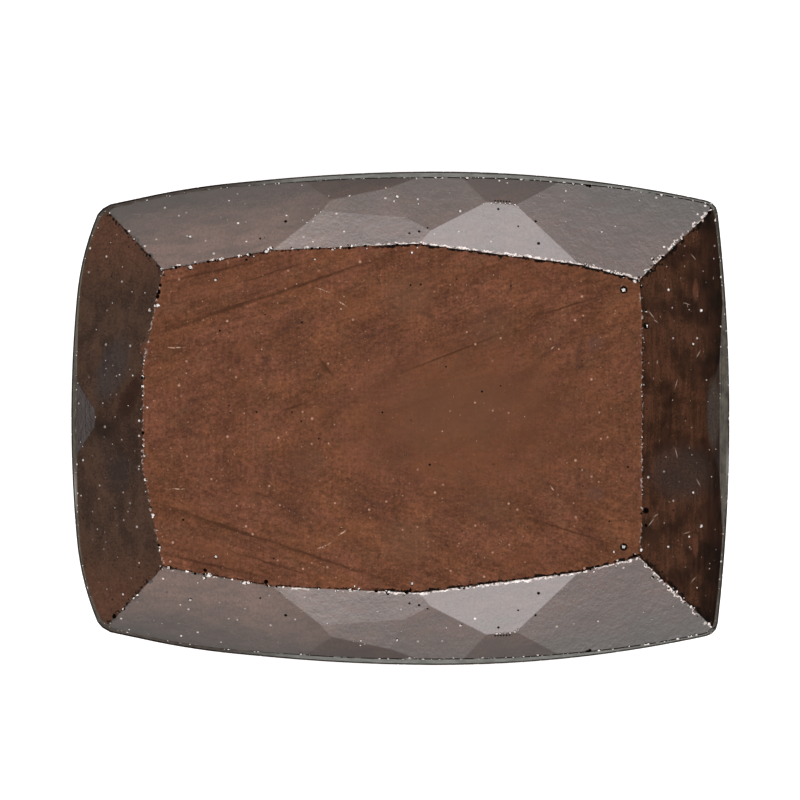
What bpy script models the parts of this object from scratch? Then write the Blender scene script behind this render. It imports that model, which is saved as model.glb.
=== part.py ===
"""A cushion-cut sapphire: one faceted solid that lies table up on the flat facet at its base.

Units are metres, +Z is up. +X runs along the stone and +Y across it, and the stone is symmetric about
the XZ plane. The origin is in the middle of the base, under the middle of the bounding box.
"""

import math
import random
from dataclasses import dataclass
from typing import Optional

import bmesh
import bpy
from mathutils import Matrix, Vector

MM = 0.001

LENGTH = 8.0 * MM
WIDTH = 6.0 * MM
DEPTH = 3.3 * MM

# The plan's half at +Y, from the left end to the right: each point with the rise of the arc to the next.
LEFT_END = (Vector((-LENGTH / 2, 0.0)), 0.016 * MM)
LEFT_SHOULDER = (Vector((-3.937, 1.433)) * MM, 0.043 * MM)
LEFT_CORNER_LOW = (Vector((-3.682, 2.478)) * MM, 0.034 * MM)
LEFT_CORNER_HIGH = (Vector((-3.451, 2.609)) * MM, 0.036 * MM)
LEFT_OF_TOP = (Vector((-1.824, 2.880)) * MM, 0.029 * MM)
TOP = (Vector((0.448 * MM, WIDTH / 2)), 0.088 * MM)
RIGHT_CORNER_HIGH = (Vector((3.714, 2.650)) * MM, 0.038 * MM)
RIGHT_CORNER_LOW = (Vector((3.860, 2.490)) * MM, 0.036 * MM)
RIGHT_END = Vector((LENGTH / 2, 0.0))
ARC_STEP = 0.16 * MM

# The girdle, as depths below the table.
WIDEST = 0.86 * MM
WALL_FOOT = 0.93 * MM
WALL_DRAFT = 0.22  # how far the wall leans in over each metre of its rise from the widest line

# The pavilion's three tiers, from the girdle down to the base facet.
TIER_DROP = (0.86 * MM, 0.80 * MM)
TIER_TILT_SIDE = (62.0, 51.0, 38.0)
TIER_TILT_END = (62.0, 47.0, 33.0)
SIDE_AZIMUTHS = ((102.0, 94.5, 87.0, 79.0), (99.0, 90.5, 82.0), (96.0, 84.0))
LEFT_AZIMUTHS = ((180.0, 168.0, 155.0), (180.0, 164.0), (173.0,))
RIGHT_AZIMUTHS = ((0.0, 7.0), (5.0,), (0.0,))

# Worn nicks along the crown's edges.
NICK_SEED = 11
NICK_TRIES = 150
NICK_RADIUS = (0.026 * MM, 0.055 * MM)
NICK_STRETCH = (1.4, 1.0, 0.8)
NICK_CLEARANCE = 0.16 * MM
CROWN_NORMAL = 0.3  # the least upward part of a crown facet's normal
SHARP_EDGE = math.radians(4)

OTHER_SIDE = Vector((1, -1, 1))
SAME_POINT = 2e-7
ON_PLANE = 2e-8
SORT_DIGITS = 6


@dataclass(frozen=True)
class Facet:
    """A plane ground into the crown: it starts at a point of the plan, on the facet that it is ground into.

    The azimuth is the way that it faces, from +X towards +Y, and the tilt is its angle from level.
    A facet that names no other starts on the table.
    """

    azimuth: float
    tilt: float
    start: tuple
    ground_into: Optional["Facet"] = None

    def depth_at(self, x, y):
        """How far this plane lies below the table at a point of the plan."""
        turn = math.radians(self.azimuth)
        along = (x - self.start[0]) * math.cos(turn) + (y - self.start[1]) * math.sin(turn)
        above = self.ground_into.depth_at(*self.start) if self.ground_into else 0.0
        return above + along * math.tan(math.radians(self.tilt))

    def point(self):
        return Vector((*self.start, DEPTH - self.depth_at(*self.start)))

    def normal(self):
        return facing(self.azimuth, self.tilt)


def facing(azimuth, tilt):
    """The direction of a facet's normal. A tilt above 90 degrees faces down."""
    turn = math.radians(azimuth)
    lean = math.radians(tilt)
    return Vector((math.sin(lean) * math.cos(turn), math.sin(lean) * math.sin(turn), math.cos(lean)))


def crown_facets():
    """The crown's facets at +Y and at both ends. Those off the middle are repeated at -Y."""
    side_left = Facet(100.1, 37.6, (-1.556 * MM, 2.040 * MM))
    star_left = Facet(92.6, 32.0, (-1.556 * MM, 2.040 * MM))
    star_right = Facet(82.7, 28.6, (0.192 * MM, 2.126 * MM))
    side_middle = Facet(90.0, 34.1, (0.192 * MM, 2.190 * MM), star_right)
    side_right = Facet(75.9, 33.25, (2.075 * MM, 1.895 * MM))
    lip_left = Facet(92.2, 33.6, (-0.670 * MM, 2.493 * MM), star_left)
    break_left = Facet(94.4, 40.7, (-0.609 * MM, 2.701 * MM), lip_left)
    break_right = Facet(83.2, 37.6, (1.249 * MM, 2.606 * MM), star_right)
    corner_left = Facet(168.3, 38.15, (-2.880 * MM, 1.797 * MM))
    corner_right = Facet(4.0, 35.7, (2.901 * MM, 1.675 * MM))
    end_left = Facet(180.0, 32.1, (-3.123 * MM, 0.0))
    end_left_break = Facet(180.0, 45.4, (-3.706 * MM, 0.0), end_left)
    end_right = Facet(0.0, 33.2, (2.931 * MM, 0.0))
    end_right_break = Facet(0.0, 41.3, (3.739 * MM, 0.0), end_right)
    end_right_girdle = Facet(0.0, 60.0, (3.884 * MM, 0.0), end_right_break)
    paired = [side_left, star_left, lip_left, break_left, side_middle, star_right, break_right, side_right]
    paired += [corner_left, corner_right]
    single = [end_left, end_left_break, end_right, end_right_break, end_right_girdle]
    return paired, single


def arc(start, end, rise):
    """Points on the arc from start up to, but without, end. It bulges by rise to the left of the way."""
    chord = end - start
    left = Vector((-chord.y, chord.x)).normalized()
    radius = (chord.length_squared / 4 + rise**2) / (2 * rise)
    centre = (start + end) / 2 - left * (radius - rise)
    sweep = 2 * math.asin(chord.length / 2 / radius)
    count = max(3, round(radius * sweep / ARC_STEP))
    spoke = start - centre
    return [centre + Matrix.Rotation(-sweep * i / count, 2) @ spoke for i in range(count)]


def girdle_outline():
    """The stone's plan, anticlockwise: flat arcs along the sides and ends, tight ones at the corners."""
    stops = [LEFT_END, LEFT_SHOULDER, LEFT_CORNER_LOW, LEFT_CORNER_HIGH, LEFT_OF_TOP, TOP]
    stops += [RIGHT_CORNER_HIGH, RIGHT_CORNER_LOW]
    ends = [point for point, _ in stops[1:]] + [RIGHT_END]
    upper = []
    for (start, rise), end in zip(stops, ends):
        upper += arc(start, end, rise)
    lower = [Vector((p.x, -p.y)) for p in upper[1:]]
    return [RIGHT_END, *reversed(upper), *lower]


def preform(bm, outline):
    """The rough block: the outline raised from the floor to the table, leaning in above its widest line."""
    bottom = bm.faces.new([bm.verts.new((p.x, p.y, 0.0)) for p in outline])
    raised = bmesh.ops.extrude_face_region(bm, geom=[bottom])["geom"]
    top = [g for g in raised if isinstance(g, bmesh.types.BMVert)]
    bmesh.ops.translate(bm, vec=(0, 0, DEPTH), verts=top)
    everything = [*bm.verts, *bm.edges, *bm.faces]
    widest = Vector((0, 0, DEPTH - WIDEST))
    bmesh.ops.bisect_plane(bm, geom=everything, plane_co=widest, plane_no=(0, 0, 1), dist=ON_PLANE)
    inset = WALL_DRAFT * WIDEST
    shrink = (1 - 2 * inset / LENGTH, 1 - 2 * inset / WIDTH, 1)
    bmesh.ops.scale(bm, vec=shrink, verts=top)
    bmesh.ops.recalc_face_normals(bm, faces=bm.faces)


def grind(bm, point, normal):
    """Takes off all that stands outside a plane and closes the stone with one flat facet."""
    everything = [*bm.verts, *bm.edges, *bm.faces]
    made = bmesh.ops.bisect_plane(
        bm, geom=everything, plane_co=point, plane_no=normal, clear_outer=True, dist=ON_PLANE
    )
    rim = [g for g in made["geom_cut"] if isinstance(g, bmesh.types.BMEdge)]
    bmesh.ops.holes_fill(bm, edges=rim, sides=0)


def reach(outline, azimuth):
    """How far the plan reaches in one direction."""
    turn = math.radians(azimuth)
    return max(p.x * math.cos(turn) + p.y * math.sin(turn) for p in outline)


def grind_tier(bm, outline, azimuth, tilts, tier):
    """One pavilion facet: under the girdle if tier is 0, and else starting lower and further in."""
    inward = 0.0
    depth = WALL_FOOT
    for drop, tilt in zip(TIER_DROP[:tier], tilts):
        inward += drop / math.tan(math.radians(tilt))
        depth += drop
    distance = reach(outline, azimuth) - inward
    turn = math.radians(azimuth)
    point = Vector((distance * math.cos(turn), distance * math.sin(turn), DEPTH - depth))
    grind(bm, point, facing(azimuth, 180 - tilts[tier]))


def cut_crown(bm):
    paired, single = crown_facets()
    for facet in [*paired, *single]:
        grind(bm, facet.point(), facet.normal())
    for facet in paired:
        grind(bm, facet.point() * OTHER_SIDE, facet.normal() * OTHER_SIDE)


def cut_pavilion(bm, outline):
    groups = (
        (SIDE_AZIMUTHS, TIER_TILT_SIDE),
        (LEFT_AZIMUTHS, TIER_TILT_END),
        (RIGHT_AZIMUTHS, TIER_TILT_END),
    )
    for azimuths, tilts in groups:
        for tier, row in enumerate(azimuths):
            for azimuth in row:
                for way in {azimuth, -azimuth % 360}:
                    grind_tier(bm, outline, way, tilts, tier)


def crown_edges(bm):
    """The two ends of each sharp edge above the girdle's widest line."""
    lowest = DEPTH - WIDEST + SAME_POINT
    found = []
    for edge in bm.edges:
        above = all(v.co.z > lowest for v in edge.verts)
        on_crown = any(f.normal.z > CROWN_NORMAL for f in edge.link_faces)
        if above and on_crown and edge.calc_face_angle(0.0) > SHARP_EDGE:
            found.append((edge.verts[0].co, edge.verts[1].co))
    return found


def nearest_on_edge(spot, ends):
    """The point of an edge that lies nearest to a spot of the plan."""
    first, last = ends
    way = last - first
    share = (spot - first).xy.dot(way.xy) / way.xy.length_squared
    return first + way * min(1.0, max(0.0, share))


def nick_places(bm):
    """Points on the crown's edges, each with the size and lean of the nick there, none touching the next."""
    chance = random.Random(NICK_SEED)
    edges = crown_edges(bm)
    places = []
    for _ in range(NICK_TRIES):
        spot = Vector((chance.uniform(-0.5, 0.5) * LENGTH, chance.uniform(-0.5, 0.5) * WIDTH, 0.0))
        radius = chance.uniform(*NICK_RADIUS)
        turn = Matrix.Rotation(chance.uniform(0, math.tau), 3, "Z")
        lean = Matrix.Rotation(chance.uniform(0, math.pi), 3, "X")
        nearest = [nearest_on_edge(spot, ends) for ends in edges]
        place = min(nearest, key=lambda point: (point - spot).xy.length)
        if all((place - other).length > NICK_CLEARANCE for other, _, _ in places):
            places.append((place, radius, turn @ lean))
    return places


def nick_cutter(places, collection):
    """One mesh of small lumps that break the edges."""
    bm = bmesh.new()
    for place, radius, lean in places:
        pose = Matrix.Translation(place) @ lean.to_4x4() @ Matrix.Diagonal((*NICK_STRETCH, 1.0))
        bmesh.ops.create_icosphere(bm, subdivisions=1, radius=radius, matrix=pose)
    mesh = bpy.data.meshes.new("nicks")
    bm.to_mesh(mesh)
    bm.free()
    cutter = bpy.data.objects.new("nicks", mesh)
    collection.objects.link(cutter)
    cutter.hide_render = True
    cutter.display_type = "WIRE"
    return cutter


def settled_mesh(bm, name):
    """The stone's facets as a mesh, its points and faces put in one order whichever way they were cut."""
    points = sorted(bm.verts, key=lambda v: [round(c, SORT_DIGITS) for c in v.co])
    index = {point: i for i, point in enumerate(points)}
    faces = []
    for face in bm.faces:
        corners = [index[v] for v in face.verts]
        first = corners.index(min(corners))
        faces.append(corners[first:] + corners[:first])
    mesh = bpy.data.meshes.new(name)
    mesh.from_pydata([v.co for v in points], [], sorted(faces))
    return mesh


def sapphire_material():
    """Dark brown stone, polished."""
    material = bpy.data.materials.new("brown sapphire")
    material.use_nodes = True
    shader = material.node_tree.nodes["Principled BSDF"]
    shader.inputs["Base Color"].default_value = (0.15, 0.056, 0.031, 1.0)
    shader.inputs["Roughness"].default_value = 0.1
    shader.inputs["IOR"].default_value = 1.77
    shader.inputs["Metallic"].default_value = 0.0
    return material


def new_collection(name):
    collection = bpy.data.collections.new(name)
    bpy.context.scene.collection.children.link(collection)
    return collection


def build_sapphire(stones, cutters):
    bm = bmesh.new()
    outline = girdle_outline()
    preform(bm, outline)
    cut_crown(bm)
    cut_pavilion(bm, outline)
    bmesh.ops.remove_doubles(bm, verts=bm.verts, dist=SAME_POINT)
    bmesh.ops.recalc_face_normals(bm, faces=bm.faces)
    places = nick_places(bm)
    mesh = settled_mesh(bm, "sapphire")
    bm.free()
    mesh.materials.append(sapphire_material())
    stone = bpy.data.objects.new("sapphire", mesh)
    stones.objects.link(stone)
    nicks = stone.modifiers.new("nicks", "BOOLEAN")
    nicks.operation = "DIFFERENCE"
    nicks.solver = "EXACT"
    nicks.object = nick_cutter(places, cutters)
    return stone


def main():
    for obj in list(bpy.data.objects):
        bpy.data.objects.remove(obj)
    build_sapphire(new_collection("faceted sapphire"), new_collection("cutters"))


main()
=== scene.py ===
"""A loose cushion-cut sapphire, table up on a pale floor, from straight above in studio light.

Shapes are modelled in millimetres and brought to metres at the end. The facets are those of the
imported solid; this script rounds and chips their edges and gives the stone its surface.
"""

import math
import random

import bpy
import numpy as np
from mathutils import Euler, Matrix, Vector


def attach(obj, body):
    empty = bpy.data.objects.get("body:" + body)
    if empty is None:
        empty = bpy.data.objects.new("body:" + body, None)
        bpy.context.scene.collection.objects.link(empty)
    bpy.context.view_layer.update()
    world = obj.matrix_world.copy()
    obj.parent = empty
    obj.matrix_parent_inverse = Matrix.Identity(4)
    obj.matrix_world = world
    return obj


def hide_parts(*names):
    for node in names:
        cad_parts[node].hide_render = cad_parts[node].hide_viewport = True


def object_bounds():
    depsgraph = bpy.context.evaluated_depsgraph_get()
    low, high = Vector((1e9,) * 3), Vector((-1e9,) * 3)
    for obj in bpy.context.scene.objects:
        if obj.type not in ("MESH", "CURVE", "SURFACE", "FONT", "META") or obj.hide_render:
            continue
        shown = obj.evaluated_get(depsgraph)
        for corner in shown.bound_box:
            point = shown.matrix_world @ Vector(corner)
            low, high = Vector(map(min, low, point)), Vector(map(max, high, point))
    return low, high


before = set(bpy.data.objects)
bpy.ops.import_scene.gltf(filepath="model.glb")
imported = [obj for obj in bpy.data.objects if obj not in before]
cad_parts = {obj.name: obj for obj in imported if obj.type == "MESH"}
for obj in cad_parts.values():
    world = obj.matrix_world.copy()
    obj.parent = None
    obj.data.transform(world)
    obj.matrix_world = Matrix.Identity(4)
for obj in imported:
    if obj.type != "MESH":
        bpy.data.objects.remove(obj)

solid_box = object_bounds()

MM = 0.001
NODE = "sapphire"

# The view: how many pixels of the frame a millimetre covers, and the frame's middle on the plan.
FRAME_PIXELS = 800
PIXELS_PER_MM = 82.44
VIEW_MIDDLE = Vector((-0.004, 0.222))
LENS = 1500.0
SENSOR = 36.0
CLIP_SPAN = 10

# The stone's facets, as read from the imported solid.
MERGE = 1e-4
COPLANAR = math.radians(0.3)
ON_FACET = 0.0005
SAME_FACET = 0.01
LEAST_FACET = 0.0005
SHORTEST_EDGE = 0.006
BLOCK_MARGIN = 1.1  # the block that the stone is cut from, in stones
CUT_GAP = 1e-6

# Worn edges: how far the rounding reaches onto each facet, and in how many steps it turns.
SHARP = 7.0  # degrees between two facets' normals
EDGE_ROUNDING = 0.010
RIM_ROUNDING = 0.018
EDGE_STEPS = 2
LEVEL = 0.99  # a level facet's normal rises at least this much
WALL = 0.3  # a girdle wall's normal rises or falls less than this
STEEP = 0.695  # the normals of the steepest facets above the girdle rise less than this

# Surfaces by their place in the stone's list.
POLISHED, GROUND, BROKEN = range(3)

# Chips broken out of the edges: how many to a millimetre, their least and greatest radius, and how
# far from the edge they lie. Those of the table's long sides and of the girdle run from left to
# right, each kind up to a place along the stone.
CHIP_SEED = 5
CHIP_GAP = 1.05
TABLE_SIDE_CHIPS = (
    (-1.5, (14.0, 0.013, 0.044, 0.07)),
    (0.2, (10.0, 0.012, 0.036, 0.05)),
    (2.1, (4.0, 0.008, 0.022, 0.02)),
    (4.0, (14.0, 0.010, 0.028, 0.04)),
)
TABLE_LEFT_CHIPS = (7.5, 0.012, 0.042, 0.07)
TABLE_RIGHT_CHIPS = (10.0, 0.005, 0.017, 0.03)
LEFT_RIDGE_CHIPS = (7.0, 0.011, 0.036, 0.03)
RIGHT_RIDGE_CHIPS = (12.0, 0.011, 0.036, 0.03)
GIRDLE_CHIPS = ((0.0, (6.0, 0.010, 0.026, 0.02)), (4.0, (9.0, 0.012, 0.034, 0.02)))
CROWN_CHIPS = (3.0, 0.008, 0.018, 0.02)
BACK_CHIPS = (2.0, 0.012, 0.036, 0.0)
CHIP_OUTWARD = (0.25, 0.70)  # shares of the radius
RIDGE_TURN = math.radians(45)
LENGTHWISE = 0.3  # the facets at the ends face along the stone at least this much

# Pits in the crown: small ones anywhere, and on each half the listed ones, as x, y and radius.
PIT_COUNT = 50
PIT_RADIUS = (0.008, 0.018)
PIT_OUTWARD = (0.25, 0.55)  # shares of the radius
LARGE_PITS = (
    (2.71, 1.56, 0.036), (2.98, 1.12, 0.032), (1.43, 2.565, 0.015), (0.14, 2.01, 0.024),
    (-2.55, 2.20, 0.026), (3.25, 1.56, 0.024), (0.73, 2.51, 0.026), (-0.04, 2.69, 0.026),
    (3.65, 1.31, 0.030), (3.06, 1.93, 0.026), (-0.94, 1.56, 0.020), (-0.72, 1.33, 0.020),
    (1.41, 2.94, 0.022), (-2.24, 1.68, 0.024), (3.55, 0.90, 0.026), (2.84, 1.66, 0.030),
    (2.92, 1.60, 0.026), (2.98, 1.30, 0.024), (1.16, 2.612, 0.016), (1.21, 2.610, 0.015),
    (1.27, 2.606, 0.016), (1.33, 2.602, 0.017), (1.39, 2.590, 0.018),
)
# The walls of these pits are painted black as shade.
DARK_PITS = (
    (2.270, 2.832, 0.024), (2.302, 2.818, 0.022), (1.190, 2.540, 0.018), (1.677, 2.122, 0.022),
    (-1.392, 2.390, 0.022), (0.228, 2.268, 0.020), (1.641, 2.390, 0.018), (0.870, 2.970, 0.022),
    (1.150, 2.640, 0.014), (1.185, 2.639, 0.013), (1.220, 2.638, 0.014), (1.255, 2.636, 0.013),
    (1.290, 2.634, 0.014), (1.325, 2.632, 0.013), (0.110, 2.245, 0.016), (0.330, 2.310, 0.014),
    (-1.700, 2.180, 0.016), (1.430, 2.330, 0.014),
)
# Painted shade: black rings round the first two large pits.
DARK_RIMS = ((2.71, 1.56, 0.052), (2.98, 1.12, 0.042))
DARK_WALLS_REACH = 1.4  # radii of a dark pit
LUMP_SHAPES = 5
LUMP_ROUGHNESS = 0.16

# The table's outline on the half at +Y, clockwise from its left end, the ridges at the corners, and
# the height at which the stone is widest.
TABLE_LEFT = ((-3.123, 0.0), (-3.123, 0.623), (-2.878, 1.804))
TABLE_SIDE = ((-2.878, 1.804), (-1.557, 2.040), (0.231, 2.121), (2.158, 1.874), (2.900, 1.688))
TABLE_RIGHT = ((2.900, 1.688), (2.931, 1.246), (2.931, 0.0))
LEFT_RIDGE = ((-3.552, 2.518), (-2.878, 1.804))
RIGHT_RIDGE = ((2.900, 1.688), (3.804, 2.548))
GIRDLE_LEVEL = 2.440

# The marks on the table and the right end: middle, half length, half width and turn. All but the
# lone ones are on both halves.
GROWTH_LINES = (
    ((-2.10, 1.320), 1.30, 0.032, 18.4),
    ((-1.00, 1.690), 1.50, 0.030, 18.4),
    ((-2.305, 1.775), 0.95, 0.030, 12.6),
    ((2.033, 1.360), 0.80, 0.022, 17.5),
    ((-1.995, 1.374), 1.20, 0.018, 17.4),
    ((-1.62, 1.745), 0.85, 0.016, 17.0),
)
LONE_LINES = (
    ((-1.28, 0.143), 0.30, 0.026, 19.9),
    ((-0.90, 0.62), 0.22, 0.030, -52.0),
    ((0.650, 0.800), 1.00, 0.020, 21.3),
)
SMUDGES = (
    ((-1.62, 0.68), 0.50, 0.080, 88.0),
    ((1.83, 0.83), 0.28, 0.060, 40.0),
    ((2.16, 0.77), 0.45, 0.070, 84.0),
    ((0.36, 1.24), 0.24, 0.060, -35.0),
    ((-0.42, 0.98), 0.60, 0.050, 21.0),
    ((-2.55, 0.16), 0.30, 0.060, 40.0),
    ((-1.45, 1.05), 0.40, 0.060, 30.0),
)
SCRATCHES = (
    ((3.045, 1.260), 0.085, 0.009, -52.0),
    ((3.100, 1.180), 0.050, 0.008, -35.0),
    ((3.480, 1.390), 0.060, 0.008, -20.0),
    ((3.620, 0.780), 0.070, 0.008, 62.0),
    ((3.350, 0.420), 0.090, 0.007, 75.0),
    ((3.560, 1.960), 0.060, 0.008, -48.0),
)
HAIRLINES = (
    ((-0.930, 1.540), 0.13, 0.011, -24.0),
    ((-0.700, 1.385), 0.09, 0.013, -30.0),
    ((-2.720, 0.855), 0.16, 0.010, 2.0),
    ((1.850, -1.190), 0.22, 0.010, 28.0),
    ((1.850, 0.850), 0.06, 0.010, 50.0),
)

# Dark wisps on the table: turn, and the share of places that have one.
WISP_TURNS = ((20.0, 0.22), (-64.0, 0.10), (62.0, 0.08))

# Dots on the table: gap, greatest radius, share of the cells that have one, strength and colour.
# In the first row, tiny pits are painted black as shade.
TABLE_DOTS = (
    (0.08, 0.017, 0.40, 0.75, (0.020, 0.007, 0.004)),
    (0.062, 0.012, 0.55, 1.0, (0.46, 0.26, 0.17)),
    (0.10, 0.018, 0.28, 1.0, (0.66, 0.40, 0.30)),
)

# The patches of the table: middle, half size, turn, strength and colour. Those of the first list
# are on both halves.
TABLE_PATCHES = (
    ((-2.20, 1.62), (0.66, 0.14), 17.0, 0.40, (0.180, 0.070, 0.031)),
    ((-0.60, 1.36), (0.36, 0.17), -20.0, 0.40, (0.190, 0.072, 0.032)),
    ((-1.90, 0.86), (0.17, 0.22), 60.0, 0.35, (0.185, 0.068, 0.031)),
    ((1.50, 1.68), (0.34, 0.14), -20.0, 0.40, (0.178, 0.064, 0.029)),
    ((0.10, 1.50), (0.46, 0.40), 0.0, 0.45, (0.128, 0.062, 0.036)),
    ((1.10, 1.10), (0.44, 0.34), 15.0, 0.40, (0.122, 0.058, 0.034)),
    ((2.37, 0.92), (0.17, 0.15), 0.0, 0.50, (0.115, 0.058, 0.043)),
)
LONE_PATCHES = (
    ((0.75, 0.10), (1.30, 0.62), 12.0, 0.40, (0.132, 0.061, 0.034)),
    ((-2.80, 0.38), (0.15, 0.14), 0.0, 0.40, (0.185, 0.066, 0.030)),
    ((-1.08, 0.03), (0.28, 0.13), 15.0, 0.35, (0.180, 0.068, 0.032)),
    ((-1.12, -0.52), (0.30, 0.36), 40.0, 0.40, (0.110, 0.050, 0.031)),
)

# The patches of the left end: middle, half size, turn, strength and colour. The darker and
# blue-grey ones are painted reflections.
LEFT_PATCHES = (
    ((-3.50, 0.60), (0.24, 0.55), -18.0, 0.75, (0.042, 0.032, 0.030)),
    ((-3.30, 0.22), (0.14, 0.42), -24.0, 0.80, (0.026, 0.012, 0.008)),
    ((-3.58, -0.14), (0.24, 0.16), 0.0, 0.85, (0.020, 0.011, 0.008)),
    ((-3.38, -0.38), (0.36, 0.66), 0.0, 0.55, (0.034, 0.020, 0.016)),
    ((-3.42, -0.68), (0.20, 0.30), 0.0, 0.65, (0.030, 0.020, 0.017)),
    ((-3.08, 0.84), (0.10, 0.12), 0.0, 0.80, (0.120, 0.046, 0.026)),
)

# The patches of the girdle's walls at the ends, painted reflections: middle, half size and colour.
WALL_PATCHES = (
    ((4.00, -0.62), (0.05, 0.36), (0.32, 0.32, 0.29)),
    ((-3.99, -0.95), (0.08, 0.46), (0.40, 0.38, 0.34)),
    ((-3.92, 1.30), (0.20, 0.90), (0.13, 0.12, 0.095)),
)

# Colours. A noise or a mask blends the two of a pair.
# Black painted as shade: in dark strokes at worn edges, in pits and the steep walls of chips, and
# along the girdle's widest line.
PAINTED_SHADE = (0.004, 0.002, 0.001)
TABLE_BROWNS = (0.145, 0.0555, 0.0268), (0.139, 0.0528, 0.0292)
TABLE_OLIVE = (0.132, 0.0575, 0.0300)
WISP = (0.052, 0.026, 0.016)
FLECK = (0.33, 0.15, 0.085)
GROWTH_LINE = (0.045, 0.018, 0.009)
SMUDGE = (0.045, 0.024, 0.018)
HAIRLINE = (0.62, 0.40, 0.28)
SIDE_NEAR_TABLE = (0.106, 0.058, 0.044), (0.063, 0.027, 0.018)  # on the left, on the right
SIDE_NEAR_GIRDLE = (0.012, 0.007, 0.005)
SIDE_DARKENING = (0.76, 0.60, 0.55)
RIGHT_END_BROWNS = (0.034, 0.014, 0.007), (0.062, 0.025, 0.013)
# A painted grey reflection on the right end.
RIGHT_GREY_REFLECTION = (0.042, 0.026, 0.021)
RIGHT_CORNER = (0.09, 0.037, 0.020)
RIGHT_FLAME = (0.16, 0.062, 0.035)
RIGHT_FILM = (0.042, 0.028, 0.021)
SCRATCH = (0.45, 0.34, 0.28)
LEFT_END_BROWNS = (0.041, 0.023, 0.015), (0.066, 0.035, 0.022)
LEFT_CORNERS = (0.086, 0.039, 0.023)
LEFT_BREAK = (0.015, 0.004, 0.001)
# Pale strokes on worn edges: partly frosty wear, partly a painted highlight.
WORN_EDGE_AND_HIGHLIGHT = (0.22, 0.16, 0.14), (0.90, 0.80, 0.75)
PALE_SPECKS = (0.82, 0.74, 0.70), (0.42, 0.23, 0.16)  # on the sides, on the table
END_SPECKS = (0.46, 0.37, 0.32)
# The girdle walls' greys: partly their ground surface, partly a painted reflection of the floor.
WALL_AT_ENDS = (0.044, 0.040, 0.034), (0.135, 0.122, 0.100)
WALL_AT_LEFT_SIDES = (0.034, 0.028, 0.024), (0.090, 0.076, 0.066)
WALL_AT_RIGHT_SIDES = (0.110, 0.112, 0.104), (0.210, 0.212, 0.198)
# Painted shade along the girdle's widest line.
OUTLINE = (0.026, 0.023, 0.019)
# The level floors of chips: frosty, with a painted glint.
FROST_AND_GLINT = (0.62, 0.49, 0.41), (1.0, 0.95, 0.90)
FROST_AND_GLINT_IN_TABLE = (0.46, 0.26, 0.18)
BACK_BREAK = (0.16, 0.10, 0.08)

# The stone's surface.
IOR = 1.77
NOISE_SPAN = (0.25, 0.75)
DASH_GAP = 2.5  # dash lengths from one dash to the next
SOFT_RIM = 0.006  # how far a strip's rims fade on either side
TABLE_RISE = (0.90, 0.97)  # how much normals rise at the steps from the other facets to the table
END_FACING = (0.30, 0.42)  # how far normals point along the stone at the steps to its ends
POLISH_ROUGHNESS = (0.08, 0.16)
GROUND_ROUGHNESS = (0.45, 0.60)
BROKEN_ROUGHNESS = 0.5

# The relief of the polish: its lines' depth in metres, and the size of each finer or broader wave
# with the detail and roughness of its noise and its depth in metres.
POLISH_LINES_DEPTH = 0.0000007
POLISH_WAVES = (
    ((0.030, 0.040), 3.0, 0.65, 0.0000011),
    ((0.10, 0.12), 3.0, 0.6, 0.0000015),
    ((0.35, 0.45), 4.0, 0.6, 0.0000028),
)

FLOOR_SIZE = 0.3
FLOOR_COLOUR = (0.80, 0.80, 0.80, 1.0)
FLOOR_ROUGHNESS = 0.9
FLOOR_GLOW = 0.56
WHITE = (1.0, 1.0, 1.0)

# The light that comes from each height above the horizon in degrees, where white paper is 1.
BRIGHTEST = 6.0
WARM, PINK = (1.0, 0.965, 0.935), (1.0, 0.975, 0.985)
SIDE_LIGHT = (
    (0, 0.5), (8, 0.8), (15, 1.10), (19, 1.4), (22, 1.57), (24, 1.70),
    (26, 2.78), (35, 4.85), (41, 3.0), (50, 0.9), (66, 0.6), (74, 0.05),
)
END_LIGHT = (
    (0, 0.3), (5, 0.15), (14, 0.06), (26, 0.03), (42, 0.06), (50, 0.6), (66, 0.6), (74, 0.05),
)
CORNER_LIGHT = ((0, 0.0), (8, 1.5), (16, 2.5), (30, 2.5), (42, 1.0), (60, 0.0))


def deselect():
    if bpy.context.mode != "OBJECT":
        bpy.ops.object.mode_set(mode="OBJECT")
    bpy.ops.object.select_all(action="DESELECT")


def choose(obj):
    deselect()
    obj.select_set(True)
    bpy.context.view_layer.objects.active = obj


def apply_modifier(obj, modifier):
    choose(obj)
    bpy.ops.object.modifier_apply(modifier=modifier.name)


# The sharp stone.


def facet_planes(node):
    """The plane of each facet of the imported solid: a point on it and the way that it faces.

    Both are in millimetres. All of the solid lies behind a facet's plane, but not behind the plane
    of a nick's wall.
    """
    copy = bpy.data.objects.new("copy of the solid", node.data.copy())
    bpy.context.scene.collection.objects.link(copy)
    copy.scale = (1 / MM,) * 3
    choose(copy)
    bpy.ops.object.transform_apply(location=False, rotation=False, scale=True)
    bpy.ops.object.mode_set(mode="EDIT")
    bpy.ops.mesh.select_all(action="SELECT")
    bpy.ops.mesh.remove_doubles(threshold=MERGE)
    bpy.ops.mesh.dissolve_limited(angle_limit=COPLANAR)
    bpy.ops.object.mode_set(mode="OBJECT")
    points = np.array([v.co for v in copy.data.vertices])
    planes = {}
    for face in sorted(copy.data.polygons, key=lambda f: -f.area):
        height = face.center.dot(face.normal)
        furthest = (points @ np.array(face.normal)).max()
        if furthest < height + ON_FACET and face.area > LEAST_FACET:
            label = tuple(round(value / SAME_FACET) for value in (*face.normal, height))
            planes.setdefault(label, (face.center.copy(), face.normal.copy()))
    bpy.data.objects.remove(copy)
    return list(planes.values())


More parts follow.
